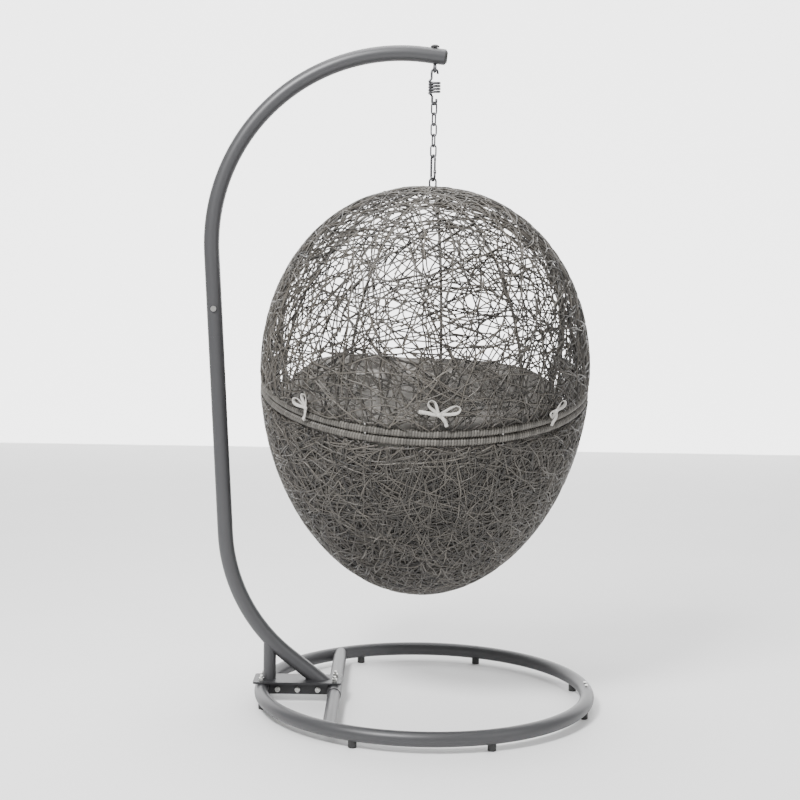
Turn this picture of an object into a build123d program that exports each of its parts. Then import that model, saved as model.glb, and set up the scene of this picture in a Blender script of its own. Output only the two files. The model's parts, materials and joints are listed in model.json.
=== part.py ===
from build123d import *
import os
from math import asin, cos, pi, radians, sin, sqrt, tan

# Hanging egg chair. Origin: on the floor, under the middle of the whole chair. +X runs from the
# pole to the far side of the base ring, +Y is the way the basket's opening faces, +Z is up.

# ---- driving dimensions, millimetres and degrees ----
foot_height = 18.0
foot_radius = 12.0
foot_angles = [17.5, 68.5, 114.3, 168.3]
ring_radius = 488.0
ring_tube = 21.0
tube_wall = 2.0
spigot = 18.8
right_seam = -5.3
left_seam = 180.0
spigot_angle = 11.0
crossbar_x = -268.0
crossbar_seam_y = -80.0
brace_x = -465.5
brace_radius = 19.0
pole_tube = 23.0
pole_reach = 669.8
pole_foot_x = -318.0
pole_foot_angle = 52.1
pole_foot_run = 114.4
low_bend = 503.0
pole_lean = 3.1
upright = 833.5
lower_upright = 587.0
high_bend = 557.4
tip_droop = 6.5
tip_run = 55.5
plate_left = -512.0
plate_right = -248.0
plate_depth = 100.0
plate_thick = 6.0
bar_thick = 5.0
bar_half_height = 20.0
bar_bolt_x = [-441.0, -381.0, -320.0]
bar_bolt_z = 33.0

basket_x = -13.0
basket_y = 80.0
basket_z = 962.5
recline = 14.4
twist = 3.0
egg_radius = 493.0
egg_rise = 18.0
egg_top = 568.5
egg_bottom = 692.0
top_power = 2.12
bottom_power = 1.93
weave_thick = 3.0
hoop_radius = 480.0
hoop_wrap = 12.3
hoop_w = 12.45
shell_w = 25.2
rim_wrap = 11.0
opening_v = 221.0
opening_tilt = 11.3
rib_rod = 4.0
rib_inset = 8.0
rib_angles = [30, 60, 90]
pad_thick = 50.0
pad_inset = 32.0

# ---- values worked out from them ----
ring_z = foot_height + ring_tube
plate_z = ring_z + ring_tube
plate_top = plate_z + plate_thick
ring_x = (pole_reach - ring_radius - ring_tube) / 2
ring_place = Plane(origin=(ring_x, 0, ring_z))
basket_place = Plane(
    origin=(ring_x + basket_x, basket_y, basket_z),
    x_dir=(cos(radians(twist)), sin(radians(twist)), 0),
    z_dir=(
        sin(radians(recline)) * sin(radians(twist)),
        -sin(radians(recline)) * cos(radians(twist)),
        cos(radians(recline)),
    ),
)

os.makedirs("parts", exist_ok=True)


# ---- helpers: each adds to the part being built ----
def set_in(place, plane):
    """A plane given in the frame of another plane."""
    return Plane(place * plane)


def radial_plane(place, angle, shift=0.0):
    """The plane through a place's axis at an angle: local x is the radius, y the height."""
    turn = radians(angle)
    across = Vector(sin(turn), -cos(turn), 0)
    return set_in(place, Plane(origin=across * -shift, x_dir=(cos(turn), sin(turn), 0), z_dir=across))


def upright_plane(turn, z):
    """An upright plane through the hook's line, turned about it; local x is level, y is up."""
    angle = radians(turn)
    return Plane(origin=(ring_x, 0, z), x_dir=(cos(angle), sin(angle), 0), z_dir=(sin(angle), -cos(angle), 0))


def axis_of(place):
    return Axis(place.origin, place.z_dir)


def ring_arc(place, radius, height, outer, inner, start, size, mode=Mode.ADD):
    """A bent tube or rod: a section turned about a place's axis."""
    with BuildSketch(radial_plane(place, start)) as section:
        with Locations((radius, height)):
            Circle(outer)
            if inner:
                Circle(inner, mode=Mode.SUBTRACT)
    revolve(section.sketch, axis=axis_of(place), revolution_arc=size, mode=mode)


def tube_along(path, outer, inner=0.0, mode=Mode.ADD):
    """A round tube or rod along a path."""
    with BuildSketch(Plane(origin=path @ 0, z_dir=path % 0)) as section:
        Circle(outer)
        if inner:
            Circle(inner, mode=Mode.SUBTRACT)
    sweep(section.sketch, path=path, mode=mode)


def rod_between(start, end, radius, inner=0.0, mode=Mode.ADD):
    """A straight rod or tube from one point to another."""
    way = Vector(end) - Vector(start)
    with BuildSketch(Plane(origin=start, z_dir=way)) as section:
        Circle(radius)
        if inner:
            Circle(inner, mode=Mode.SUBTRACT)
    extrude(section.sketch, amount=way.length, mode=mode)


def ball(centre, radius):
    with Locations(centre):
        Sphere(radius)


def hex_rod(plane, across, height, bore=0.0, mode=Mode.ADD):
    """A hexagonal prism, bored through if a radius is given."""
    with BuildSketch(plane) as section:
        RegularPolygon(across / 2, 6, major_radius=False)
        if bore:
            Circle(bore, mode=Mode.SUBTRACT)
    extrude(section.sketch, amount=height, mode=mode)


def disc(plane, radius, height, bore=0.0, mode=Mode.ADD):
    with BuildSketch(plane) as section:
        Circle(radius)
        if bore:
            Circle(bore, mode=Mode.SUBTRACT)
    extrude(section.sketch, amount=height, mode=mode)


def step_along(angle, length):
    """A step in the pole's plane, at an angle from straight up towards -X."""
    return Vector(-sin(radians(angle)) * length, 0, cos(radians(angle)) * length)


def wire_loop(turn, top_z, bottom_z, half_width, wire):
    """A closed loop of round wire with straight sides, in an upright plane through the hook's line."""
    high = top_z - half_width
    low = bottom_z + half_width
    with BuildLine(upright_plane(turn, 0)) as loop:
        Line((-half_width, low), (-half_width, high))
        ThreePointArc((-half_width, high), (0, top_z), (half_width, high))
        Line((half_width, high), (half_width, low))
        ThreePointArc((half_width, low), (0, bottom_z), (-half_width, low))
    tube_along(loop.wire(), wire)


def egg_half(w, inset):
    """The half axes and the power of the egg's outline on the side of a height, moved inwards."""
    if w >= egg_rise:
        return egg_radius - inset, egg_top - inset, top_power
    return egg_radius - inset, egg_bottom - inset, bottom_power


def egg_r(w, inset=0.0):
    """The basket's radius at a height in its own frame, moved inwards by inset."""
    a, h, n = egg_half(w, inset)
    s = min(abs(w - egg_rise) / h, 1.0)
    return a * (1 - s**n) ** (1 / n)


def egg_points(w_from, sign, inset, count=12):
    """Points of the egg's outline from a height to its top (sign 1) or its bottom (sign -1)."""
    a, h, n = egg_half(egg_rise + sign, inset)
    start = asin((abs(w_from - egg_rise) / h) ** (n / 2))
    points = []
    for i in range(count):
        t = start + (pi / 2 - start) * i / (count - 1)
        radius = a * cos(t) ** (2 / n) if i < count - 1 else 0.0
        points.append((radius, egg_rise + sign * h * sin(t) ** (2 / n)))
    return points


def egg_shell(w_from, sign, outer_inset, inner_inset):
    """A thin shell of revolution between two insets of the egg."""
    with BuildSketch(radial_plane(basket_place, 0)) as section:
        with BuildLine():
            outside = Spline(egg_points(w_from, sign, outer_inset))
            inside = Spline(egg_points(w_from, sign, inner_inset))
            Line(outside @ 1, inside @ 1)
            Line(inside @ 0, outside @ 0)
        make_face()
    revolve(section.sketch, axis=axis_of(basket_place))


def opening_plane(back=0.0, up=1):
    """The plane of the basket's opening, set back; local y runs up (up 1) or down (up -1)."""
    t = radians(opening_tilt)
    origin = (0, opening_v - back * cos(t), -back * sin(t))
    return set_in(basket_place, Plane(origin=origin, x_dir=(-up, 0, 0), z_dir=(0, cos(t), sin(t))))


def rim_half(up, inset, q_from, count=9):
    """Half of the opening's edge in its own plane, from beside the seam to the middle."""
    t = radians(opening_tilt)

    def place_at(q):
        return opening_v - rim_wrap * cos(t) - up * q * sin(t), up * q * cos(t) - rim_wrap * sin(t)

    low = 0.0
    high = egg_bottom
    while high - low > 0.001:
        q = (low + high) / 2
        v, w = place_at(q)
        if egg_r(w, inset) > v:
            low = q
        else:
            high = q
    start = asin(q_from / low)
    points = []
    for i in range(count):
        q = low * sin(start + (pi / 2 - start) * i / (count - 1))
        v, w = place_at(q)
        points.append((sqrt(max(egg_r(w, inset) ** 2 - v**2, 0.0)) if i < count - 1 else 0.0, q))
    return points


def basket_level(w, up=1):
    return set_in(basket_place, Plane(origin=(0, 0, w), x_dir=(1, 0, 0), z_dir=(0, 0, up)))


def rim(up):
    """The wrapped edge of the opening in the hood (up 1) or the bowl (up -1)."""
    half = rim_half(up, rim_wrap, 8.0)
    with BuildLine(opening_plane(rim_wrap, up)) as path:
        Spline(half + [(-x, y) for x, y in reversed(half[:-1])])
    tube_along(path.line, rim_wrap)
    split(bisect_by=basket_level(up * shell_w, up), keep=Keep.TOP)


def side_rib(angle, sign, end_radius):
    """A rod just inside the weave, from beside the seam to near the egg's top or bottom."""
    points = egg_points(sign * (shell_w + 0.4), sign, rib_inset, 14)
    kept = [point for point in points if point[0] > end_radius + 25]
    a, h, n = egg_half(egg_rise + sign, rib_inset)
    height = h * (1 - (end_radius / a) ** n) ** (1 / n)
    with BuildLine(radial_plane(basket_place, angle)) as path:
        Spline(kept + [(end_radius, egg_rise + sign * height)])
    tube_along(path.line, rib_rod)


def arch_rib(sign, shift):
    """The rib in the middle of the back, carried over the top (or under the bottom) to the rim."""
    back = egg_points(sign * (shell_w + 0.4), sign, rib_inset)
    front = egg_points(egg_rise + sign, sign, rib_inset)
    points = [(-x, y) for x, y in back] + list(reversed(front[:-1]))
    with BuildLine(radial_plane(basket_place, 90, -shift)) as path:
        Spline(points)
    tube_along(path.line, rib_rod)
    split(bisect_by=opening_plane(2 * rim_wrap + 0.3), keep=Keep.BOTTOM)


# ---- pole path, from below the plate to the tip ----
foot_point = Vector(ring_x + pole_foot_x, 0, plate_top)
below_plate = foot_point - step_along(pole_foot_angle, 60)
bend_point = foot_point + step_along(pole_foot_angle, pole_foot_run)


def lower_pole_line(length):
    """The lower pole's centreline: a slanting foot, a bend and a straight upright."""
    slant = Line(below_plate, bend_point)
    bend = JernArc(start=slant @ 1, tangent=slant % 1, radius=low_bend, arc_size=pole_lean - pole_foot_angle)
    return Line(bend @ 1, bend @ 1 + step_along(pole_lean, length))


def upper_pole_line(gap):
    """The upper pole's centreline, from a gap above the joint over to the tip."""
    high = joint_point + step_along(pole_lean, upright - lower_upright)
    rise = Line(joint_point + step_along(pole_lean, gap), high)
    arch = JernArc(start=rise @ 1, tangent=rise % 1, radius=high_bend, arc_size=-(90 + tip_droop + pole_lean))
    return Line(arch @ 1, arch @ 1 + step_along(-90 - tip_droop, tip_run))


with BuildLine(Plane.XZ) as lower_line:
    last_run = lower_pole_line(lower_upright)
joint_point = last_run @ 1
with BuildLine(Plane.XZ) as upper_line:
    last_reach = upper_pole_line(0)
tip = last_reach @ 1
tip_way = last_reach % 1
over_hook = tip.Z + (tip.X - ring_x) * tan(radians(tip_droop))
hook_top = over_hook + pole_tube / cos(radians(tip_droop))
hook_bottom = over_hook - pole_tube / cos(radians(tip_droop))

# ---- stand: base ring in two halves, the front one plugging into the rear one ----
ring_bolt_x = -sqrt(ring_radius**2 - 28**2)
plate_bolt_spots = [(ring_bolt_x, -28), (ring_bolt_x, 28), (crossbar_x, -30), (crossbar_x, 30)]
screw_angles = [-1.4, 2.4]


def screw_spot(angle):
    return ring_x + ring_radius * cos(radians(angle)), ring_radius * sin(radians(angle))


def bolt_holes(spots):
    for x, y in spots:
        rod_between((ring_x + x, y, 0), (ring_x + x, y, 120), 4.3, mode=Mode.SUBTRACT)


def screw_holes():
    for angle in screw_angles:
        x, y = screw_spot(angle)
        rod_between((x, y, ring_z + 8), (x, y, ring_z + 30), 2.8, mode=Mode.SUBTRACT)


with BuildPart() as base_ring_rear:
    ring_arc(ring_place, ring_radius, 0, ring_tube, ring_tube - tube_wall, right_seam, left_seam - right_seam)
    bolt_holes(plate_bolt_spots[1:2])
    screw_holes()
base_ring_rear.part.label = "base_ring_rear"
export_step(base_ring_rear.part, "parts/base_ring_rear.step")

front_size = 360 + right_seam - left_seam - 0.06
with BuildPart() as base_ring_front:
    ring_arc(ring_place, ring_radius, 0, ring_tube, spigot - tube_wall, left_seam + 0.03, front_size)
    ring_arc(
        ring_place, ring_radius, 0, spigot, spigot - tube_wall,
        left_seam - spigot_angle, front_size + 2 * spigot_angle + 0.06,
    )
    ring_arc(
        ring_place, ring_radius, 0, ring_tube - tube_wall, 0, left_seam + 1.2, front_size - 2.4, Mode.SUBTRACT
    )
    bolt_holes(plate_bolt_spots[:2])
    screw_holes()
base_ring_front.part.label = "base_ring_front"
export_step(base_ring_front.part, "parts/base_ring_front.step")

ring_solid = Solid.make_torus(ring_radius, ring_tube + 0.05).moved(ring_place.location)
crossbar_end_y = sqrt(ring_radius**2 - crossbar_x**2)
with BuildPart() as crossbar_rear:
    rod_between(
        (ring_x + crossbar_x, crossbar_seam_y, ring_z), (ring_x + crossbar_x, crossbar_end_y, ring_z),
        ring_tube, ring_tube - tube_wall,
    )
    add(ring_solid, mode=Mode.SUBTRACT)
    bolt_holes(plate_bolt_spots[2:])
crossbar_rear.part.label = "crossbar_rear"
export_step(crossbar_rear.part, "parts/crossbar_rear.step")

with BuildPart() as crossbar_front:
    rod_between(
        (ring_x + crossbar_x, -crossbar_end_y, ring_z), (ring_x + crossbar_x, 60, ring_z),
        spigot, spigot - tube_wall,
    )
    add(ring_solid, mode=Mode.SUBTRACT)
    bolt_holes(plate_bolt_spots[2:])
crossbar_front.part.label = "crossbar_front"
export_step(crossbar_front.part, "parts/crossbar_front.step")

with BuildPart() as ring_joint_screws:
    for angle in screw_angles:
        x, y = screw_spot(angle)
        rod_between((x, y, ring_z + 12), (x, y, ring_z + 22), 2.5)
        disc(Plane(origin=(x, y, ring_z + 21.2)), 5.2, 3.2)
ring_joint_screws.part.label = "ring_joint_screws"
export_step(ring_joint_screws.part, "parts/ring_joint_screws.step")

with BuildPart() as feet:
    for angle in foot_angles + [-angle for angle in foot_angles]:
        turn = radians(angle)
        spot = (ring_x + ring_radius * cos(turn), ring_radius * sin(turn), 0)
        disc(Plane(origin=spot), foot_radius, foot_height + 3)
    add(ring_solid, mode=Mode.SUBTRACT)
    chamfer(feet.edges().filter_by(GeomType.CIRCLE).group_by(Axis.Z)[0], 1.2)
feet.part.label = "feet"
export_step(feet.part, "parts/feet.step")

# ---- stand: plate, the two joint bars under it and their fasteners ----
with BuildPart() as pole_plate:
    with BuildSketch(Plane.XY.offset(plate_z)):
        with Locations((ring_x + (plate_left + plate_right) / 2, 0)):
            RectangleRounded(plate_right - plate_left, plate_depth, 8)
    extrude(amount=plate_thick)
    bolt_holes(plate_bolt_spots)
pole_plate.part.label = "pole_plate"
export_step(pole_plate.part, "parts/pole_plate.step")


def joint_bar(y):
    """A flat bar on edge under the plate, coped to the ring and to the crossbar, with bolt holes."""
    with BuildSketch(Plane(origin=(ring_x, y, 0), x_dir=(1, 0, 0), z_dir=(0, -1, 0))) as section:
        with Locations(((crossbar_x - ring_radius) / 2, ring_z)):
            Rectangle(ring_radius + crossbar_x, 2 * bar_half_height)
        with Locations([(x, bar_bolt_z) for x in bar_bolt_x]):
            Circle(4.3, mode=Mode.SUBTRACT)
    extrude(section.sketch, amount=-bar_thick)
    add(ring_solid, mode=Mode.SUBTRACT)
    rod_between(
        (ring_x + crossbar_x, -50, ring_z), (ring_x + crossbar_x, 50, ring_z), ring_tube + 0.05, mode=Mode.SUBTRACT
    )


bar_front_y = -0.15 - bar_thick
bar_rear_y = 0.15
with BuildPart() as joint_bar_front:
    joint_bar(bar_front_y)
joint_bar_front.part.label = "joint_bar_front"
export_step(joint_bar_front.part, "parts/joint_bar_front.step")

with BuildPart() as joint_bar_rear:
    joint_bar(bar_rear_y)
joint_bar_rear.part.label = "joint_bar_rear"
export_step(joint_bar_rear.part, "parts/joint_bar_rear.step")


def facing(x, y, z, way):
    """A plane standing at a point, facing -Y (way -1) or +Y (way 1)."""
    return Plane(origin=(x, y, z), x_dir=(1, 0, 0), z_dir=(0, way, 0))


bar_back = bar_rear_y + bar_thick
washer = 1.6
with BuildPart() as bar_bolts:
    for x in bar_bolt_x:
        disc(facing(ring_x + x, bar_front_y - washer, bar_bolt_z, -1), 6.5, 8)
        hex_rod(facing(ring_x + x, bar_front_y - washer - 8, bar_bolt_z, -1), 6, -4, mode=Mode.SUBTRACT)
        disc(facing(ring_x + x, bar_front_y - washer, bar_bolt_z, 1), 4, bar_back + 11 - bar_front_y + washer)
bar_bolts.part.label = "bar_bolts"
export_step(bar_bolts.part, "parts/bar_bolts.step")

with BuildPart() as bar_nuts:
    for x in bar_bolt_x:
        disc(facing(ring_x + x, bar_front_y, bar_bolt_z, -1), 8, washer, 4.2)
        hex_rod(facing(ring_x + x, bar_back, bar_bolt_z, 1), 13, 6.5, 4.2)
bar_nuts.part.label = "bar_nuts"
export_step(bar_nuts.part, "parts/bar_nuts.step")

with BuildPart() as plate_bolts:
    for x, y in plate_bolt_spots:
        hex_rod(Plane(origin=(ring_x + x, y, foot_height - 5.5)), 13, 5.5)
        disc(Plane(origin=(ring_x + x, y, foot_height - 1)), 4, plate_top + 16 - foot_height + 1)
plate_bolts.part.label = "plate_bolts"
export_step(plate_bolts.part, "parts/plate_bolts.step")

with BuildPart() as plate_nuts:
    for x, y in plate_bolt_spots:
        disc(Plane(origin=(ring_x + x, y, plate_top)), 8, washer, 4.2)
        hex_rod(Plane(origin=(ring_x + x, y, plate_top + washer)), 13, 7, 4.2)
plate_nuts.part.label = "plate_nuts"
export_step(plate_nuts.part, "parts/plate_nuts.step")

# ---- stand: brace, the two pole tubes, their screw and the end cap ----
with BuildPart() as brace_tube:
    rod_between(
        (ring_x + brace_x, 0, plate_top), (ring_x + brace_x, 0, plate_top + 150), brace_radius,
        brace_radius - tube_wall,
    )
    with BuildLine(Plane.XZ) as cope_line:
        lower_pole_line(50)
    tube_along(cope_line.line, pole_tube + 0.05, mode=Mode.SUBTRACT)
    split(bisect_by=Plane.XY.offset(plate_top + 122), keep=Keep.BOTTOM)
brace_tube.part.label = "brace_tube"
export_step(brace_tube.part, "parts/brace_tube.step")

pole_screw_at = joint_point + step_along(pole_lean, 83)
screw_face = Plane(origin=pole_screw_at + Vector(0, -pole_tube, 0), x_dir=(1, 0, 0), z_dir=(0, -1, 0))
inner_tube = pole_tube - tube_wall - 0.2
with BuildPart() as lower_pole:
    with BuildLine(Plane.XZ) as low_path:
        lower_pole_line(lower_upright)
    tube_along(low_path.line, pole_tube, pole_tube - tube_wall)
    rod_between(
        joint_point + step_along(pole_lean, -5), joint_point + step_along(pole_lean, 115),
        inner_tube, inner_tube - tube_wall,
    )
    rod_between(
        joint_point + step_along(pole_lean, -5), joint_point, pole_tube - 0.5, inner_tube - tube_wall
    )
    split(bisect_by=Plane.XY.offset(plate_top), keep=Keep.TOP)
    disc(screw_face.offset(-8), 4.2, 10, mode=Mode.SUBTRACT)
lower_pole.part.label = "lower_pole"
export_step(lower_pole.part, "parts/lower_pole.step")

with BuildPart() as upper_pole:
    with BuildLine(Plane.XZ) as high_path:
        upper_pole_line(0.3)
    tube_along(high_path.line, pole_tube, pole_tube - tube_wall)
    disc(screw_face.offset(-8), 4.2, 10, mode=Mode.SUBTRACT)
    rod_between((ring_x, 0, hook_bottom - 10), (ring_x, 0, hook_top + 10), 5.3, mode=Mode.SUBTRACT)
upper_pole.part.label = "upper_pole"
export_step(upper_pole.part, "parts/upper_pole.step")

with BuildPart() as pole_screw:
    disc(screw_face.offset(-7), 4, 7.5)
    disc(screw_face.offset(0.3), 8.2, 4.5)
    hex_rod(screw_face.offset(4.8), 5, -2.5, mode=Mode.SUBTRACT)
pole_screw.part.label = "pole_screw"
export_step(pole_screw.part, "parts/pole_screw.step")

cap_plane = Plane(origin=tip, x_dir=(0, 1, 0), z_dir=tip_way)
with BuildPart() as pole_end_cap:
    disc(cap_plane.offset(-14), pole_tube - tube_wall - 0.2, 14.2, pole_tube - tube_wall - 2.2)
    disc(cap_plane.offset(0.2), pole_tube - 0.5, 2)
    with BuildSketch(cap_plane.offset(2.2)):
        Circle(pole_tube - 1)
    extrude(amount=6, taper=50)
pole_end_cap.part.label = "pole_end_cap"
export_step(pole_end_cap.part, "parts/pole_end_cap.step")

# ---- eye bolt through the pole's tip, and its dome nut ----
eye_wire = 3.5
eye_radius = 10.0
eye_turn = 100.0
eye_z = hook_bottom - 12.7
nut_low = hook_top + 1.6
nut_top = hook_top + 9.0
with BuildPart() as eye_bolt:
    wire_loop(eye_turn, eye_z + eye_radius, eye_z - eye_radius - 0.01, eye_radius, eye_wire)
    rod_between((ring_x, 0, eye_z + eye_radius - 2), (ring_x, 0, nut_top - 3.2), 5)
eye_bolt.part.label = "eye_bolt"
export_step(eye_bolt.part, "parts/eye_bolt.step")

with BuildPart() as dome_nut:
    disc(Plane(origin=(ring_x, 0, nut_low)), 13, 2.4)
    with BuildSketch(Plane(origin=(ring_x, 0, nut_low + 2.4))):
        Circle(13)
    extrude(amount=2.5, taper=35)
    with BuildSketch(Plane(origin=(ring_x, 0, nut_low + 4.9))):
        Circle(11.2)
    extrude(amount=2.5, taper=65)
    rod_between((ring_x, 0, nut_low - 1), (ring_x, 0, nut_top - 3), 5.1, mode=Mode.SUBTRACT)
dome_nut.part.label = "dome_nut"
export_step(dome_nut.part, "parts/dome_nut.step")

# ---- spring: one wire, hooked at both ends ----
spring_wire = 3.5
spring_hook = 9.0
top_turn = 12.0
low_turn = -48.0
wire_gap = 0.3
pivot_z = eye_z - eye_radius
top_arc_z = pivot_z + eye_wire + wire_gap + spring_wire - spring_hook
coil_top = top_arc_z - 25.8
coil_low = coil_top - 35
coil_radius = 15.2
coil_turns = 4 + (top_turn - low_turn) / 360
low_arc_z = coil_low - 22


def wire_end(turn, coil_z, arc_z, side, past):
    """The wire from the coil in to a half round hook, above (side 1) or below (side -1) the coil."""
    plane = upright_plane(turn, 0)
    leave = plane.from_local_coords((-coil_radius, coil_z))
    knee = plane.from_local_coords((-spring_hook, coil_z + side * 8))
    turn_in = plane.from_local_coords((-spring_hook, arc_z))
    rod_between(leave, knee, spring_wire - 0.03)
    rod_between(knee, turn_in, spring_wire - 0.03)
    ball(leave, spring_wire + 0.03)
    ball(knee, spring_wire + 0.03)
    with BuildLine(plane) as bend:
        half = ThreePointArc((-spring_hook, arc_z), (0, arc_z + side * spring_hook), (spring_hook, arc_z))
        Line((spring_hook, arc_z), (spring_hook, arc_z - side * past))
    tube_along(bend.line, spring_wire)


with BuildPart() as spring:
    coil = Edge.make_helix(35 / coil_turns, 35, coil_radius).moved(
        Location((ring_x, 0, coil_low), (0, 0, 180 + low_turn))
    )
    with BuildSketch(Plane(origin=coil @ 0, z_dir=coil % 0)) as coil_section:
        Circle(spring_wire)
    sweep(coil_section.sketch, path=coil, is_frenet=True)
    wire_end(top_turn, coil_top, top_arc_z, 1, 4)
    wire_end(low_turn, coil_low, low_arc_z, -1, 6)
spring.part.label = "spring"
export_step(spring.part, "parts/spring.step")

# ---- chain: five links, each hanging in the one above ----
link_wire = 2.5
link_half = 8.5
link_length = 36.3
link_gap = 0.5
link_turns = [32, -60, 28, -66, 26]
link_top = low_arc_z - spring_hook + spring_wire + wire_gap + link_wire
link_parts = []
for turn in link_turns:
    with BuildPart() as chain_link:
        wire_loop(turn, link_top, link_top - link_length, link_half, link_wire)
    name = "chain_link_" + str(len(link_parts) + 1)
    chain_link.part.label = name
    export_step(chain_link.part, "parts/" + name + ".step")
    link_parts.append(chain_link.part)
    link_top = link_top - link_length + 2 * link_wire + link_gap

# ---- snap hook: a wire body open on one side, a sprung gate and its pin ----
snap_wire = 3.5
snap_turn = -70.0
snap_half = 14.5
snap_top = link_top + (snap_wire - link_wire)
snap_bottom = snap_top - 73.3
pin_z = snap_bottom + 22.0
nose_z = snap_top - 19.0
gate_wire = 3.2
snap_plane = upright_plane(snap_turn, 0)
pin_at = snap_plane.from_local_coords((snap_half, pin_z))
across = snap_plane.z_dir

with BuildPart() as snap_hook:
    with BuildLine(snap_plane) as snap_path:
        Line((snap_half, pin_z - 1), (snap_half, snap_bottom + snap_half))
        ThreePointArc((snap_half, snap_bottom + snap_half), (0, snap_bottom), (-snap_half, snap_bottom + snap_half))
        Line((-snap_half, snap_bottom + snap_half), (-snap_half, snap_top - snap_half))
        ThreePointArc((-snap_half, snap_top - snap_half), (0, snap_top), (snap_half, snap_top - snap_half))
        Line((snap_half, snap_top - snap_half), (snap_half, nose_z))
    tube_along(snap_path.wire(), snap_wire)
    rod_between(pin_at - across * 3.4, pin_at + across * 3.4, 3.5)
    for side in (-1, 1):
        start = pin_at + across * (side * 2.0)
        with BuildSketch(Plane(origin=start, x_dir=(0, 0, 1), z_dir=across * side)) as flat:
            Rectangle(9, 9)
        extrude(flat.sketch, amount=5, mode=Mode.SUBTRACT)
    rod_between(pin_at - across * 5, pin_at + across * 5, 1.3, mode=Mode.SUBTRACT)
snap_hook.part.label = "snap_hook"
export_step(snap_hook.part, "parts/snap_hook.step")

with BuildPart() as snap_gate:
    rod_between(
        snap_plane.from_local_coords((snap_half, pin_z + 4.4)),
        snap_plane.from_local_coords((snap_half, nose_z - 0.6)), gate_wire,
    )
    for side in (-1, 1):
        cheek = pin_at + across * (side * 2.35)
        disc(Plane(origin=cheek, x_dir=(0, 0, 1), z_dir=across * side), 3.2, 1.3)
        with BuildSketch(Plane(origin=cheek, x_dir=(0, 0, 1), z_dir=across * side)) as strap:
            with Locations((3.6, 0)):
                Rectangle(7.2, 5.2)
        extrude(strap.sketch, amount=1.3)
    rod_between(pin_at - across * 5, pin_at + across * 5, 1.32, mode=Mode.SUBTRACT)
snap_gate.part.label = "snap_gate"
export_step(snap_gate.part, "parts/snap_gate.step")

with BuildPart() as gate_pin:
    rod_between(pin_at - across * 4.3, pin_at + across * 4.3, 1.26)
gate_pin.part.label = "gate_pin"
export_step(gate_pin.part, "parts/gate_pin.step")

# ---- basket: the eye on top, a closed loop round the middle rib ----
hook_u = basket_place.to_local_coords(Vector(ring_x, 0, basket_z + 560)).X


def rib_height_at_hook():
    """The height at which the hook's line crosses the middle rib's centreline."""
    low = basket_z + 300
    high = basket_z + 700
    while high - low > 0.001:
        z = (low + high) / 2
        spot = basket_place.to_local_coords(Vector(ring_x, 0, z))
        if egg_r(spot.Z, rib_inset) > abs(spot.Y):
            low = z
        else:
            high = z
    return low


eye_loop_wire = 2.75
eye_loop_half = 9.75
eye_loop_turn = 15.0
eye_loop_top = snap_bottom + snap_wire + link_gap + eye_loop_wire
rib_z = rib_height_at_hook()
with BuildPart() as basket_eye:
    wire_loop(eye_loop_turn, eye_loop_top, rib_z - rib_rod - 0.6 - eye_loop_wire, eye_loop_half, eye_loop_wire)
basket_eye.part.label = "basket_eye"
export_step(basket_eye.part, "parts/basket_eye.step")

# ---- basket: the two seam hoops, the rims, the ribs and the woven shells ----
hoop_bolt_angles = [270 - 23.2, 270 + 23.2, 270 - 108, 270 + 108]
hoop_bolt = 3.0


def hoop(w):
    """A wrapped half hoop along the seam, open towards the front."""
    ring_arc(basket_place, hoop_radius, w, hoop_wrap, 0, 0, 360)
    split(bisect_by=opening_plane(0), keep=Keep.BOTTOM)
    for angle in hoop_bolt_angles:
        plane = radial_plane(basket_place, angle)
        rod_between(
            plane.from_local_coords((hoop_radius, -40)), plane.from_local_coords((hoop_radius, 40)),
            hoop_bolt + 0.2, mode=Mode.SUBTRACT,
        )


with BuildPart() as hood_hoop:
    hoop(hoop_w)
hood_hoop.part.label = "hood_hoop"
export_step(hood_hoop.part, "parts/hood_hoop.step")

with BuildPart() as bowl_hoop:
    hoop(-hoop_w)
bowl_hoop.part.label = "bowl_hoop"
export_step(bowl_hoop.part, "parts/bowl_hoop.step")

hoop_edge = hoop_w + hoop_wrap
with BuildPart() as hoop_bolts:
    for angle in hoop_bolt_angles:
        plane = radial_plane(basket_place, angle)
        top = plane.from_local_coords((hoop_radius, hoop_edge + 0.1))
        foot_end = plane.from_local_coords((hoop_radius, -hoop_edge - 9))
        rod_between(top, foot_end, hoop_bolt)
        rod_between(top, plane.from_local_coords((hoop_radius, hoop_edge + 4)), 4.9)
hoop_bolts.part.label = "hoop_bolts"
export_step(hoop_bolts.part, "parts/hoop_bolts.step")

with BuildPart() as hoop_nuts:
    for angle in hoop_bolt_angles:
        plane = radial_plane(basket_place, angle)
        spot = plane.from_local_coords((hoop_radius, -hoop_edge - 5.2))
        hex_rod(Plane(origin=spot, z_dir=basket_place.z_dir), 9, 5, hoop_bolt + 0.1)
hoop_nuts.part.label = "hoop_nuts"
export_step(hoop_nuts.part, "parts/hoop_nuts.step")

with BuildPart() as hood_rim:
    rim(1)
hood_rim.part.label = "hood_rim"
export_step(hood_rim.part, "parts/hood_rim.step")

with BuildPart() as bowl_rim:
    rim(-1)
bowl_rim.part.label = "bowl_rim"
export_step(bowl_rim.part, "parts/bowl_rim.step")

with BuildPart() as hood_ribs:
    arch_rib(1, hook_u)
    for angle in rib_angles:
        side_rib(270 + angle, 1, 62 - angle * 0.4)
        side_rib(270 - angle, 1, 62 - angle * 0.4)
hood_ribs.part.label = "hood_ribs"
export_step(hood_ribs.part, "parts/hood_ribs.step")

with BuildPart() as bowl_ribs:
    arch_rib(-1, 0)
    for angle in rib_angles:
        side_rib(270 + angle, -1, 24 if angle < 90 else 12)
        side_rib(270 - angle, -1, 24 if angle < 90 else 12)
bowl_ribs.part.label = "bowl_ribs"
export_step(bowl_ribs.part, "parts/bowl_ribs.step")

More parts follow.
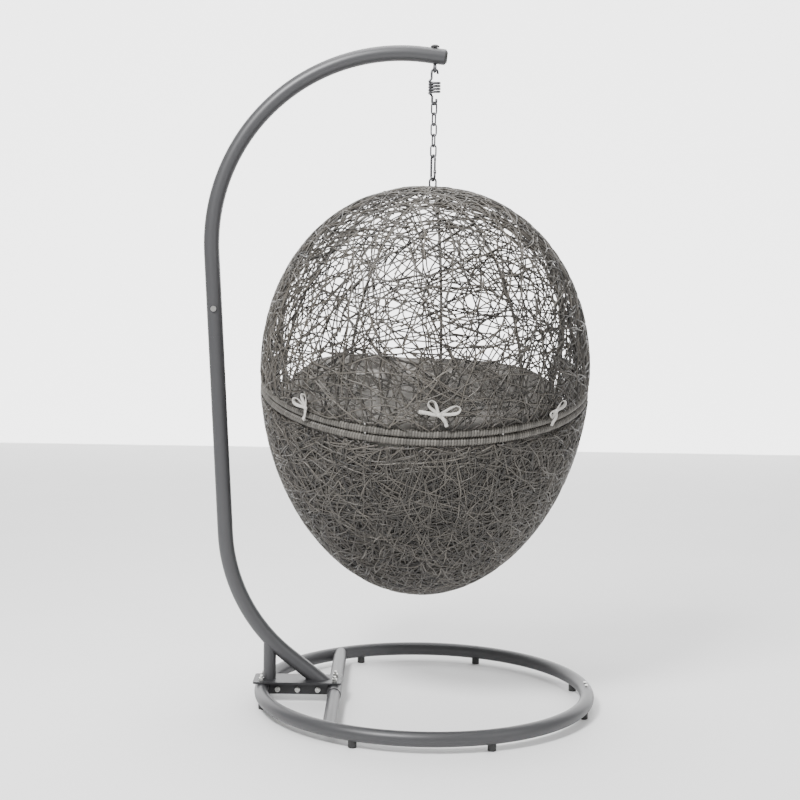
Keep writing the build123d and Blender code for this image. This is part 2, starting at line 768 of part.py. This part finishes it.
with BuildPart() as hood_weave:
    egg_shell(shell_w, 1, 0, weave_thick)
    split(bisect_by=opening_plane(2 * rim_wrap + 0.3), keep=Keep.BOTTOM)
    with BuildSketch(upright_plane(eye_loop_turn, 0)) as eye_slot:
        with Locations((0, rib_z)):
            Rectangle(2 * (eye_loop_half + eye_loop_wire + 0.6), 60)
    extrude(eye_slot.sketch, amount=eye_loop_wire + 0.6, both=True, mode=Mode.SUBTRACT)
hood_weave.part.label = "hood_weave"
export_step(hood_weave.part, "parts/hood_weave.step")

with BuildPart() as bowl_weave:
    egg_shell(-shell_w, -1, 0, weave_thick)
    split(bisect_by=opening_plane(2 * rim_wrap + 0.3), keep=Keep.BOTTOM)
bowl_weave.part.label = "bowl_weave"
export_step(bowl_weave.part, "parts/bowl_weave.step")

# ---- cushion: a thick pad lining the bowl and the lower back ----
pad_top_w = 195.0


def whole_outline(w_from, inset):
    """The egg's outline from a height above its widest ring down to its bottom."""
    upper = [(egg_r(egg_rise + (w_from - egg_rise) * k / 3, inset), egg_rise + (w_from - egg_rise) * k / 3)
             for k in (3, 2, 1)]
    return Spline(upper + egg_points(egg_rise - 0.001, -1, inset))


with BuildPart() as cushion:
    with BuildSketch(radial_plane(basket_place, 0)) as pad_section:
        with BuildLine():
            pad_back = whole_outline(pad_top_w, pad_inset)
            pad_front = whole_outline(pad_top_w, pad_inset + pad_thick)
            Line(pad_back @ 1, pad_front @ 1)
            Line(pad_front @ 0, pad_back @ 0)
        make_face()
    revolve(pad_section.sketch, axis=axis_of(basket_place))
    for origin, slope in (((0, -355, 195), 18.5), ((0, -240, 140), 37.5)):
        way = (0, sin(radians(slope)), cos(radians(slope)))
        split(bisect_by=set_in(basket_place, Plane(origin=origin, x_dir=(1, 0, 0), z_dir=way)), keep=Keep.BOTTOM)
    split(bisect_by=opening_plane(45), keep=Keep.BOTTOM)
cushion.part.label = "cushion"
export_step(cushion.part, "parts/cushion.step")

# ---- ties: bows knotted outside the weave that hold the cushion's back ----
ribbon = 10.5


def tie(angle, w, tilt):
    """A bow lying on the outside of the hood's weave, with its knot at an angle and a height."""
    frame = radial_plane(basket_place, angle)
    rise = (egg_r(w - 3) - egg_r(w + 3)) / 6
    out = frame.x_dir + frame.y_dir * rise
    at = frame.from_local_coords((egg_r(w), w)) + out.normalized() * 4.4
    face = Plane(origin=at, x_dir=basket_place.z_dir.cross(out), z_dir=out)
    with BuildSketch(face) as knot:
        RectangleRounded(14, 12, 3)
    extrude(knot.sketch, amount=8)
    for turn, length, thick in ((20 + tilt, 42, 5), (160 + tilt, 42, 5), (-65 + tilt, 52, 1.6), (-110 + tilt, 52, 1.6)):
        way = face.x_dir * cos(radians(turn)) + face.y_dir * sin(radians(turn))
        strip = Plane(origin=at, x_dir=way, z_dir=out)
        with BuildSketch(strip) as band:
            with Locations((length / 2 + 2, 0)):
                Rectangle(length, ribbon)
        extrude(band.sketch, amount=thick)


for name, angle, w, tilt in (("tie_left", 225.2, 39, 8), ("tie_centre", 270.7, 73, 0), ("tie_right", 313.4, 41, -8)):
    with BuildPart() as bow:
        tie(angle, w, tilt)
    bow.part.label = name
    export_step(bow.part, "parts/" + name + ".step")
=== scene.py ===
"""Dresses the hanging egg chair: woven strands, wrapped hoops, a tufted pad, ribbon bows and a studio."""
import json
import math

import bpy
import numpy as np
from mathutils import Matrix, Vector


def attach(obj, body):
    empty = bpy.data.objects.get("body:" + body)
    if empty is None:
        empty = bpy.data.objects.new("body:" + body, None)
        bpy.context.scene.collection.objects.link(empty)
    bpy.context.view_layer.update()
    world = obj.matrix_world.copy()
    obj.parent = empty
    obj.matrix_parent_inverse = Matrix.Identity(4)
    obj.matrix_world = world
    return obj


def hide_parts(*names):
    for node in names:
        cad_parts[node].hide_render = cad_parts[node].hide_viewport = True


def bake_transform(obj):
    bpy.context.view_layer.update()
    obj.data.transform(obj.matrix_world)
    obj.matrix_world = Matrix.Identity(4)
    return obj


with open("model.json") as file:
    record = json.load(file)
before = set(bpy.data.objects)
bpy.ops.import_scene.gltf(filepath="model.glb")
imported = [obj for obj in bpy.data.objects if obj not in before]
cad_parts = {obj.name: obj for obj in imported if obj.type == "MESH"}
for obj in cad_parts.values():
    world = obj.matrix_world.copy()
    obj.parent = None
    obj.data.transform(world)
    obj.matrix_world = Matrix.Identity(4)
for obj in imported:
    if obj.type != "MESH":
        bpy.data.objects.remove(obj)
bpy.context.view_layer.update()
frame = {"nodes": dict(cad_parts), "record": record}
nodes = frame["nodes"]
rng = np.random.default_rng(7)

# ---- the basket's frame and outline, in metres ----
HOOK_X = 0.0804  # where the chain hangs
TWIST = math.radians(3.0)
RECLINE = math.radians(14.4)
ORIGIN = np.array([HOOK_X - 0.013, 0.080, 0.9625])
U = np.array([math.cos(TWIST), math.sin(TWIST), 0.0])
W = np.array([math.sin(RECLINE) * math.sin(TWIST), -math.sin(RECLINE) * math.cos(TWIST), math.cos(RECLINE)])
V = np.cross(W, U)
EGG_A, EGG_TOP, EGG_LOW, EGG_UP = 0.493, 0.5685, 0.692, 0.018
P_TOP, P_LOW = 2.12, 1.93
OPEN_V = 0.221
OPEN_T = math.radians(11.3)
SHELL_W = 0.0252  # the woven shells start this far from the seam
HOOP_R, HOOP_W, HOOP_WRAP = 0.480, 0.01245, 0.0123
RIM_R = 0.011


def to_world(p):
    """Points in the basket's frame, as rows of u, v, w, in the row frame."""
    p = np.asarray(p, float)
    return ORIGIN + p[..., :1] * U + p[..., 1:2] * V + p[..., 2:3] * W


def on_egg(p, inset=0.0):
    """Moves points along their line from the egg's middle on to its outline, inset from it."""
    q = p - np.array([0, 0, EGG_UP])
    up = q[..., 2] >= 0
    a = EGG_A - inset
    h = np.where(up, EGG_TOP, EGG_LOW) - inset
    n = np.where(up, P_TOP, P_LOW)
    rho = np.hypot(q[..., 0], q[..., 1])
    f = (rho / a) ** n + (np.abs(q[..., 2]) / h) ** n
    return q / (f ** (1 / n))[..., None] + np.array([0, 0, EGG_UP])


def normal_at(p):
    """Unit normals of the egg at points on it."""
    q = p - np.array([0, 0, EGG_UP])
    up = q[..., 2] >= 0
    h = np.where(up, EGG_TOP, EGG_LOW)
    n = np.where(up, P_TOP, P_LOW)
    rho = np.maximum(np.hypot(q[..., 0], q[..., 1]), 1e-6)
    k = (rho / EGG_A) ** (n - 1) / EGG_A / rho
    rise = np.sign(q[..., 2]) * (np.abs(q[..., 2]) / h) ** (n - 1) / h
    g = np.stack([q[..., 0] * k, q[..., 1] * k, rise], -1)
    return g / np.linalg.norm(g, axis=-1, keepdims=True)


def ahead(p):
    """How far points stand in front of the plane of the opening."""
    return (p[..., 1] - OPEN_V) * math.cos(OPEN_T) + p[..., 2] * math.sin(OPEN_T)


# ---- materials ----
def material(name, color, rough, metal=0.0, vary=0.12, scale=40.0, bump=0.05, detail=3.0, sheen=0.0):
    """A shader with its colour varied, and its surface roughened, by one noise."""
    m = bpy.data.materials.new(name)
    m.use_nodes = True
    t = m.node_tree
    b = t.nodes["Principled BSDF"]
    b.inputs["Roughness"].default_value = rough
    b.inputs["Metallic"].default_value = metal
    if sheen:
        b.inputs["Sheen Weight"].default_value = sheen
    co = t.nodes.new("ShaderNodeTexCoord")
    no = t.nodes.new("ShaderNodeTexNoise")
    no.inputs["Scale"].default_value = scale
    no.inputs["Detail"].default_value = detail
    ra = t.nodes.new("ShaderNodeValToRGB")
    ra.color_ramp.elements[0].position = 0.3
    ra.color_ramp.elements[1].position = 0.7
    ra.color_ramp.elements[0].color = [c * (1 - vary) for c in color] + [1]
    ra.color_ramp.elements[1].color = [min(c * (1 + vary), 1) for c in color] + [1]
    bu = t.nodes.new("ShaderNodeBump")
    bu.inputs["Strength"].default_value = bump
    bu.inputs["Distance"].default_value = 0.001
    t.links.new(co.outputs["Object"], no.inputs["Vector"])
    t.links.new(no.outputs["Fac"], ra.inputs["Fac"])
    t.links.new(ra.outputs["Color"], b.inputs["Base Color"])
    t.links.new(no.outputs["Fac"], bu.inputs["Height"])
    t.links.new(bu.outputs["Normal"], b.inputs["Normal"])
    return m


def strand_material(name, dark, light, rough):
    """Woven strand: each strand takes its own tone, with painted shade in it, from an attribute, with a fine
    noise over it.
    """
    m = material(name, light, rough, 0, 0.1, 60, 0.05)
    t = m.node_tree
    b = t.nodes["Principled BSDF"]
    at = t.nodes.new("ShaderNodeAttribute")
    at.attribute_name = "shade"
    ra = t.nodes.new("ShaderNodeValToRGB")
    ra.color_ramp.elements[0].color = list(dark) + [1]
    ra.color_ramp.elements[1].color = list(light) + [1]
    mix = t.nodes.new("ShaderNodeMix")
    mix.data_type = "RGBA"
    mix.blend_type = "MULTIPLY"
    mix.inputs[0].default_value = 0.35
    old = b.inputs["Base Color"].links[0].from_socket
    t.links.new(at.outputs["Fac"], ra.inputs["Fac"])
    t.links.new(ra.outputs["Color"], mix.inputs[6])
    t.links.new(old, mix.inputs[7])
    t.links.new(mix.outputs[2], b.inputs["Base Color"])
    return m


M_FRAME = material("frame_paint", (0.06, 0.06, 0.063), 0.42, 0.25, 0.04, 900, 0.06, 2)
M_PLATE = material("plate_paint", (0.03, 0.03, 0.032), 0.45, 0.2, 0.05, 700, 0.06, 2)
M_ZINC = material("zinc", (0.62, 0.62, 0.6), 0.3, 1.0, 0.08, 300, 0.04)
M_BLACK = material("black_plastic", (0.018, 0.018, 0.018), 0.5, 0, 0.1, 400, 0.05)
M_GEAR = material("hanging_steel", (0.1, 0.1, 0.105), 0.38, 0.9, 0.1, 300, 0.05)
M_RIB = material("rib_steel", (0.05, 0.047, 0.043), 0.55, 0.3, 0.08, 300, 0.05)
M_WRAP = strand_material("wrapped_strand", (0.03, 0.027, 0.023), (0.25, 0.235, 0.21), 0.5)
M_WEAVE = strand_material("woven_strand", (0.013, 0.011, 0.009), (0.165, 0.15, 0.13), 0.42)
M_CLOTH = material("cushion_cloth", (0.43, 0.41, 0.385), 0.95, 0, 0.05, 1400, 0.35, 6, 0.2)
M_TIE = material("tie_tape", (0.5, 0.485, 0.455), 0.9, 0, 0.04, 1500, 0.3, 4)
SLOTS = {
    "frame_paint": M_FRAME, "plate_paint": M_PLATE, "zinc": M_ZINC, "black_plastic": M_BLACK,
    "hanging_steel": M_GEAR, "rib_steel": M_RIB, "wrapped_strand": M_WRAP, "woven_strand": M_WEAVE,
    "cushion_cloth": M_CLOTH, "tie_tape": M_TIE,
}
for sub in frame["record"]["subparts"]:
    o = nodes[sub["node"]]
    o.data.materials.clear()
    o.data.materials.append(SLOTS[sub["material_slot"]])


# ---- mesh helpers ----
def new_object(name, verts, faces, mat, shade=None):
    """A smooth mesh piece, with a tone for each vertex, painted shade included, where the material reads
    one.
    """
    me = bpy.data.meshes.new(name)
    me.from_pydata([tuple(v) for v in verts], [], [tuple(f) for f in faces])
    me.update()
    me.polygons.foreach_set("use_smooth", [True] * len(me.polygons))
    if shade is not None:
        at = me.attributes.new("shade", "FLOAT", "POINT")
        at.data.foreach_set("value", np.asarray(shade, np.float32))
    me.materials.append(mat)
    o = bpy.data.objects.new(name, me)
    bpy.context.scene.collection.objects.link(o)
    return o


def tube(points, normals, radius, sides):
    """Vertices and faces of a tube along points, with a normal given at each; radius may vary per vertex."""
    points = np.asarray(points)
    step = np.gradient(points, axis=0)
    step /= np.linalg.norm(step, axis=1, keepdims=True)
    side = np.cross(normals, step)
    side /= np.linalg.norm(side, axis=1, keepdims=True)
    up = np.cross(step, side)
    phi = np.arange(sides) * 2 * math.pi / sides
    r = np.broadcast_to(radius, (len(points), sides))[..., None]
    ring = up[:, None] * np.cos(phi)[None, :, None] + side[:, None] * np.sin(phi)[None, :, None]
    verts = (points[:, None] + ring * r).reshape(-1, 3)
    n = len(points)
    i = np.arange(n - 1)[:, None] * sides
    j = i + sides
    k = np.arange(sides)[None, :]
    k2 = (k + 1) % sides
    quads = np.stack([i + k, i + k2, j + k2, j + k], -1).reshape(-1, 4)
    faces = [tuple(q) for q in quads]
    faces.append(tuple(range(sides))[::-1])
    faces.append(tuple(range((n - 1) * sides, n * sides)))
    return verts, faces


# ---- the woven shells: random round strands over the egg, ending at the hoops and the rims ----
STRAND_R = 0.00215
OUTER, INNER = 0.002, 0.0055  # how far the two layers lie under the egg's outline
START_BACK, STOP_BACK = 0.024, 0.02  # strands start and stop this far behind the opening
STOP_W = 0.0235


def grow(count, sign, reach, inset, step=0.016, curl=1.5):
    """Random paths over the hood (sign 1) or the bowl (sign -1): a list of arrays of points."""
    k = np.arange(count * 3) + 0.5
    rise = k / (count * 3)
    way = k * math.pi * (3 - math.sqrt(5)) + rng.uniform(0, 6.3)
    flat = np.sqrt(1 - rise**2)
    start = np.stack([flat * np.cos(way), flat * np.sin(way), rise * sign], 1)
    start += rng.normal(size=start.shape) * 0.012
    p = on_egg(start * np.array([0.49, 0.49, 0.6]) + np.array([0, 0, EGG_UP]), inset)
    keep = (sign * p[:, 2] > SHELL_W) & (ahead(p) < -START_BACK)
    p = rng.permutation(p[keep])[:count]
    d = rng.normal(size=p.shape)
    bend = rng.normal(size=len(p)) * curl
    drift = rng.normal(size=len(p)) * 2.5
    steps = int(reach / step)
    track = [p]
    live = [np.ones(len(p), bool)]
    for s in range(steps):
        n = normal_at(p)
        d = d - (d * n).sum(1, keepdims=True) * n
        d /= np.linalg.norm(d, axis=1, keepdims=True)
        turn = (bend + drift * math.sin(s * 0.27))[:, None] * step
        d = d + np.cross(n, d) * turn
        p = on_egg(p + d * step, inset)
        ok = (sign * p[:, 2] > STOP_W) & (ahead(p) < -STOP_BACK)
        track.append(p)
        live.append(live[-1] & ok)
    track = np.stack(track, 1)
    live = np.stack(live, 1)
    out = []
    for i in range(len(track)):
        n = int(live[i].sum())
        if n >= 4:
            out.append(track[i, :n])
    return out


def even_out(paths, count, cell=0.02):
    """Picks count paths one by one, each time the one of six that runs through the barest stretch."""
    crossed = np.zeros((80, 80, 100))
    where = [tuple(((p + np.array([0.8, 0.8, 1.0])) / cell).astype(int).T) for p in paths]
    left = list(range(len(paths)))
    picked = []
    while left and len(picked) < count:
        tries = rng.integers(0, len(left), 6)
        best = min(tries, key=lambda i: crossed[where[left[i]]].mean())
        path = left.pop(int(best))
        crossed[where[path]] += 1
        picked.append(paths[path])
    return picked


def weave(name, node, sign, layers):
    """One shell's strands as one piece; each layer has a count, a longest reach and an inset."""
    verts, faces, shade = [], [], []
    base = 0
    for count, reach, inset in layers:
        for path in even_out(grow(count * 3, sign, reach, inset), count):
            n = normal_at(path)
            s = np.arange(len(path))
            wave = np.sin(s * rng.uniform(0.5, 1.1) + rng.uniform(0, 6.3)) * 0.0014
            sway = np.sin(s * rng.uniform(0.7, 1.5) + rng.uniform(0, 6.3)) * rng.uniform(0.001, 0.0032)
            side = np.cross(n, np.gradient(path, axis=0))
            side /= np.linalg.norm(side, axis=1, keepdims=True)
            points = path + n * wave[:, None] + side * sway[:, None]
            v, f = tube(points, n, STRAND_R * rng.uniform(0.92, 1.08), 5)
            verts.append(to_world(v))
            faces += [tuple(a + base for a in q) for q in f]
            # Each strand's tone is random around a mean that drops with the inset: the deeper inner layer is
            # painted darker, as painted shade under the outer layer.
            shade += [float(np.clip(rng.normal(0.5 - inset * 40, 0.24), 0, 1))] * len(v)
            base += len(v)
    o = new_object(name, np.concatenate(verts), faces, M_WEAVE, shade)
    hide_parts(node)
    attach(o, "basket")


thin = 1.0
weave("hood_strands", "hood_weave", 1, [(410, 0.5, OUTER), (370, 0.55, INNER)])
weave("bowl_strands", "bowl_weave", -1,
      [(int(1050 * thin), 0.5, OUTER), (int(950 * thin), 0.55, INNER)])


# ---- wrapped hoops and rims: a strand wound round a tube ----
def wrapped(name, node, points, normals, radius, pitch=0.008):
    """A tube along basket-frame points with the ridges of a strand wound round it, and painted shade in the
    grooves between them.
    """
    seg = np.linalg.norm(np.diff(points, axis=0), axis=1)
    along = np.concatenate([[0], np.cumsum(seg)])
    count = int(along[-1] / (pitch / 8))
    s = np.linspace(0, along[-1], count)
    pts = np.stack([np.interp(s, along, points[:, i]) for i in range(3)], 1)
    nrm = np.stack([np.interp(s, along, normals[:, i]) for i in range(3)], 1)
    sides = 12
    phi = np.arange(sides) * 2 * math.pi / sides
    wind = s[:, None] / pitch - phi[None, :] / (2 * math.pi)
    ridge = np.abs(np.sin(wind * math.pi))
    v, f = tube(pts, nrm, radius - 0.0019 * (1 - ridge) ** 0.7, sides)
    turn = np.floor(wind).astype(int)
    tone = (np.sin(turn * 12.9898) * 43758.5453) % 1.0
    # Each turn of the wound strand gets its own random tone, darkened towards the grooves between the ridges
    # as painted shade.
    shade = (0.3 + 0.5 * tone) * ridge**0.8
    o = new_object(name, to_world(v), f, M_WRAP, shade.reshape(-1))
    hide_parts(node)
    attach(o, "basket")


for name, node, w in (("hood_hoop_wrap", "hood_hoop", HOOP_W), ("bowl_hoop_wrap", "bowl_hoop", -HOOP_W)):
    end = math.asin((OPEN_V - w * math.tan(OPEN_T)) / HOOP_R)
    a = np.linspace(math.pi - end, 2 * math.pi + end, 900)
    pts = np.stack([HOOP_R * np.cos(a), HOOP_R * np.sin(a), np.full(a.shape, w)], 1)
    wrapped(name, node, pts, np.tile([0, 0, 1.0], (len(a), 1)), HOOP_WRAP)


def rim_path(up):
    """The rim's centreline, in the plane 11 mm behind the opening's, from one side over to the other."""
    c, s = math.cos(OPEN_T), math.sin(OPEN_T)
    q = np.linspace((SHELL_W + RIM_R * s * up) / c, 0.75, 6000)
    v = OPEN_V - RIM_R * c - up * q * s
    w = up * q * c - RIM_R * s
    h = EGG_TOP if up > 0 else EGG_LOW
    n = P_TOP if up > 0 else P_LOW
    part = 1 - (np.abs(w - EGG_UP) / (h - RIM_R)) ** n
    r = (EGG_A - RIM_R) * np.maximum(part, 0) ** (1 / n)
    ok = r > v
    u = np.sqrt(np.maximum(r**2 - v**2, 0))[ok]
    half = np.stack([u, v[ok], w[ok]], 1)
    return np.concatenate([half, (half * np.array([-1, 1, 1]))[::-1]])


for name, node, up in (("hood_rim_wrap", "hood_rim", 1), ("bowl_rim_wrap", "bowl_rim", -1)):
    path = rim_path(up)
    seg = np.linalg.norm(np.diff(path, axis=0), axis=1)
    keep = np.concatenate([[True], seg > 1e-7])
    path = path[keep]
    along = np.concatenate([[0], np.cumsum(np.linalg.norm(np.diff(path, axis=0), axis=1))])
    s = np.linspace(0, along[-1], 700)
    path = np.stack([np.interp(s, along, path[:, i]) for i in range(3)], 1)
    face = np.tile([0, math.cos(OPEN_T), math.sin(OPEN_T)], (len(path), 1))
    wrapped(name, node, path, face, RIM_R)


# ---- cushion: a thick tufted pad, lining the bowl and the lower back ----
def pad_edge(u, v, w):
    """Below 0 inside the pad's outline: the cuts across the top, down the sides and at the lip."""
    w = w + np.where(u > 0, 0.085 * (np.abs(u) / 0.33) ** 2.2, 0.044 * (np.abs(u) / 0.37) ** 3) * (v < 0)
    one = (v + 0.355) * math.sin(math.radians(18.5)) + (w - 0.195) * math.cos(math.radians(18.5))
    two = (v + 0.240) * math.sin(math.radians(37.5)) + (w - 0.140) * math.cos(math.radians(37.5))
    lip = (v - OPEN_V) * math.cos(OPEN_T) + w * math.sin(OPEN_T) + 0.05
    return np.maximum(np.maximum(one, two), np.maximum(lip, w - 0.19))


def pad_point(theta, alpha, inset):
    """Points under the egg's outline, at a turn theta about its axis and a rise alpha."""
    theta, alpha = np.broadcast_arrays(theta, alpha)
    ray = np.stack([np.cos(theta) * np.cos(alpha), np.sin(theta) * np.cos(alpha), np.sin(alpha)], -1)
    return on_egg(ray * 0.5 + np.array([0, 0, EGG_UP]), inset)


def make_cushion():
    """The pad's outer and inner skins, closed over its top edge and under its middle."""
    cols = 336
    rows = 120
    theta = np.arange(cols) * 2 * math.pi / cols
    tries = np.linspace(0.9, -1.5, 900)
    mid = pad_point(theta[:, None], tries[None, :], 0.06)
    inside = pad_edge(mid[..., 0], mid[..., 1], mid[..., 2]) < 0
    top = tries[np.argmax(inside, axis=1)]
    for _ in range(6):
        top = (np.roll(top, 1) + top * 2 + np.roll(top, -1)) / 4
    t = np.linspace(0, 1, rows)
    alpha = top[:, None] + (-math.pi / 2 + 0.02 - top[:, None]) * t[None, :]
    th = np.broadcast_to(theta[:, None], alpha.shape)
    edge = np.clip((top[:, None] - alpha) / 0.13, 0, 1)
    round_off = np.sqrt(1 - (1 - edge) ** 2)
    across = (th - math.pi * 1.5) * 7 / math.pi
    down = (alpha + 0.1) / 0.42
    fade = np.clip((alpha + 1.45) / 0.5, 0, 1)
    puff = (np.abs(np.cos(across * math.pi)) ** 0.6) * (np.abs(np.cos(down * math.pi)) ** 0.55)
    puff = puff * fade + 0.75 * (1 - fade)
    wrinkle = np.sin(th * 37 + np.sin(alpha * 19) * 2.3) * np.sin(alpha * 41 + np.sin(th * 13) * 1.7)
    thick = (0.022 + 0.062 * puff) * round_off + 0.002
    seam = np.exp(-(((alpha + 0.036) / 0.1) ** 2))
    back = 0.040 + 0.012 * (1 - round_off) - 0.022 * puff * round_off * (1 - seam)
    outer = pad_point(th, alpha, back)
    inner = pad_point(th, alpha, back + thick + 0.0016 * wrinkle * round_off)
    over = pad_point(theta, top + 0.03, 0.046)
    verts = np.concatenate([outer.reshape(-1, 3), inner.reshape(-1, 3), over])
    m = cols * rows
    i = np.arange(cols)
    k = (i + 1) % cols
    faces = []
    for r in range(rows - 1):
        a, b = i * rows + r, k * rows + r
        faces += list(zip(a, a + 1, b + 1, b))
        faces += list(zip(a + m, b + m, b + m + 1, a + m + 1))
    a, b, c, d = i * rows, k * rows, i + 2 * m, k + 2 * m
    faces += list(zip(a, b, d, c))
    faces += list(zip(c, d, b + m, a + m))
    faces.append(tuple(i * rows + rows - 1))
    faces.append(tuple((i * rows + rows - 1 + m)[::-1]))
    faces = [tuple(int(x) for x in f) for f in faces]
    o = new_object("cushion_pad", to_world(verts), faces, M_CLOTH)
    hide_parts("cushion")
    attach(o, "basket")


make_cushion()


# ---- ties: ribbon bows knotted outside the weave ----
def ribbon(points, outward, width, lean):
    """A thin tape along points; its width leans from the plane of the bow towards outward."""
    points = np.asarray(points, float)
    step = np.gradient(points, axis=0)
    step /= np.linalg.norm(step, axis=1, keepdims=True)
    side = np.cross(outward, step)
    lean = np.asarray(lean, float)[:, None]
    across = side * np.cos(lean) + np.asarray(outward)[None] * np.sin(lean)
    thin_way = np.cross(step, across)
    verts, faces = [], []
    for p, a, n in zip(points, across, thin_way):
        for x, y in ((-1, -1), (1, -1), (1, 1), (-1, 1)):
            verts.append(p + a * x * width / 2 + n * y * 0.0005)
    for i in range(len(points) - 1):
        for j in range(4):
            faces.append((i * 4 + j, i * 4 + (j + 1) % 4, i * 4 + 4 + (j + 1) % 4, i * 4 + 4 + j))
    faces.append((3, 2, 1, 0))
    e = len(points) * 4 - 4
    faces.append((e, e + 1, e + 2, e + 3))
    return verts, faces


def bow(name, node, angle, w, loops, tails):
    """A bow at a turn and a height on the hood; loops reach and tails end at points beside the knot."""
    a = math.radians(angle)
    at = on_egg(np.array([math.cos(a) * 0.49, math.sin(a) * 0.49, w]))
    n = normal_at(at)
    out = n[0] * U + n[1] * V + n[2] * W
    x = np.cross(W, out)
    x /= np.linalg.norm(x)
    y = np.cross(out, x)
    base = to_world(at) + out * 0.006
    verts, faces = [], []

    def take(v, f):
        k = len(verts)
        verts.extend(v)
        faces.extend(tuple(i + k for i in q) for q in f)

    for lx, ly, fat in loops:
        s = np.linspace(0, 1, 25)
        go = np.array([lx, ly])
        perp = np.array([-ly, lx]) / math.hypot(lx, ly)
        reach = np.sin(s * math.pi) ** 0.8
        swing = np.sin(s * 2 * math.pi) * fat
        pts = [base + x * (go[0] * r + perp[0] * g) + y * (go[1] * r + perp[1] * g)
               + out * (0.003 + 0.004 * r)
               for r, g in zip(reach, swing)]
        take(*ribbon(pts, out, 0.0085, 0.75 - 0.5 * np.cos(s * 2 * math.pi)))
    for tx, ty, wave in tails:
        s = np.linspace(0, 1, 14)
        pts = [base + x * (tx * q + wave * math.sin(q * 4)) + y * ty * q
               + out * (0.002 + 0.003 * math.sin(q * 5))
               for q in s]
        take(*ribbon(pts, out, 0.010, 0.25 * np.sin(s * 3)))
    phi = np.linspace(0, math.pi, 7)
    for k in range(10):
        t = k / 9 * 2 * math.pi
        for p in phi:
            s = math.sin(p)
            verts.append(base + x * math.cos(p) * 0.0075 + y * math.cos(t) * s * 0.006
                         + out * (0.004 + math.sin(t) * s * 0.0045))
    m = len(verts) - 70
    for k in range(9):
        for j in range(6):
            faces.append((m + k * 7 + j, m + k * 7 + j + 1, m + k * 7 + j + 8, m + k * 7 + j + 7))
    o = new_object(name, verts, faces, M_TIE)
    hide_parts(node)
    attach(o, "basket")


bow("tie_left_bow", "tie_left", 225.2, 0.039, [(-0.006, 0.040, 0.008), (-0.044, 0.014, 0.009)],
    [(-0.010, -0.040, 0.004)])
bow("tie_centre_bow", "tie_centre", 270.7, 0.073, [(-0.026, 0.040, 0.009), (0.056, 0.020, 0.010)],
    [(-0.052, 0.008, 0.003), (0.026, -0.034, 0.004)])
bow("tie_right_bow", "tie_right", 313.4, 0.041, [(-0.030, -0.006, 0.008), (0.034, 0.020, 0.009)],
    [(-0.010, -0.042, 0.003)])

# ---- spring: the same wire, copied as one smooth piece ----
coil = bpy.data.objects.new("spring_wire", nodes["spring"].data.copy())
bpy.context.scene.collection.objects.link(coil)
coil.data.polygons.foreach_set("use_smooth", [True] * len(coil.data.polygons))
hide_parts("spring")
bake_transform(coil)

# ---- floor, light, camera ----
bpy.ops.mesh.primitive_plane_add(size=60, location=(0, 0, 0))
floor = bpy.context.object
floor.name = "floor"
floor.data.materials.append(material("floor_paint", (0.86, 0.86, 0.86), 0.7, 0, 0.01, 2, 0.0))

bpy.ops.mesh.primitive_plane_add(size=1, location=(0, 6.5, 4), rotation=(math.radians(90), 0, 0))
wall = bpy.context.object
wall.name = "backdrop"
wall.scale = (18, 9, 1)
glow = bpy.data.materials.new("backdrop_glow")
glow.use_nodes = True
glow.node_tree.nodes["Principled BSDF"].inputs["Emission Color"].default_value = (1, 1, 1, 1)
glow.node_tree.nodes["Principled BSDF"].inputs["Emission Strength"].default_value = 3
wall.data.materials.append(glow)

world = bpy.data.worlds.new("studio")
bpy.context.scene.world = world
world.use_nodes = True
world.node_tree.nodes["Background"].inputs[0].default_value = (1, 1, 1, 1)
world.node_tree.nodes["Background"].inputs[1].default_value = 0.5


def area(name, place, aim, size, power):
    """A square soft light at place, turned to aim."""
    light = bpy.data.lights.new(name, "AREA")
    light.size = size
    light.energy = power
    o = bpy.data.objects.new(name, light)
    bpy.context.scene.collection.objects.link(o)
    o.location = place
    o.rotation_euler = (Vector(aim) - Vector(place)).to_track_quat("-Z", "Y").to_euler()


area("key", (-1.8, -3.0, 4.4), (0, 0, 1), 1.2, 420)
area("fill", (3.2, -2.6, 2.4), (0, 0, 1), 2.5, 50)
area("top", (0, 0.6, 4.2), (0, 0, 0.8), 2.5, 140)

LENS = 67.08
PITCH, ROLL = 4.853, 0.9195
CAMERA_AT = (HOOK_X - 0.0858, -4.4066, 1.287)
cam = bpy.data.cameras.new("camera")
cam.lens = LENS
cam.sensor_width = 36
cam.clip_end = 200
eye = bpy.data.objects.new("camera", cam)
bpy.context.scene.collection.objects.link(eye)
turn = Matrix.Rotation(math.radians(90 - PITCH), 4, "X") @ Matrix.Rotation(math.radians(ROLL), 4, "Z")
eye.matrix_world = Matrix.Translation(CAMERA_AT) @ turn
bpy.context.scene.camera = eye
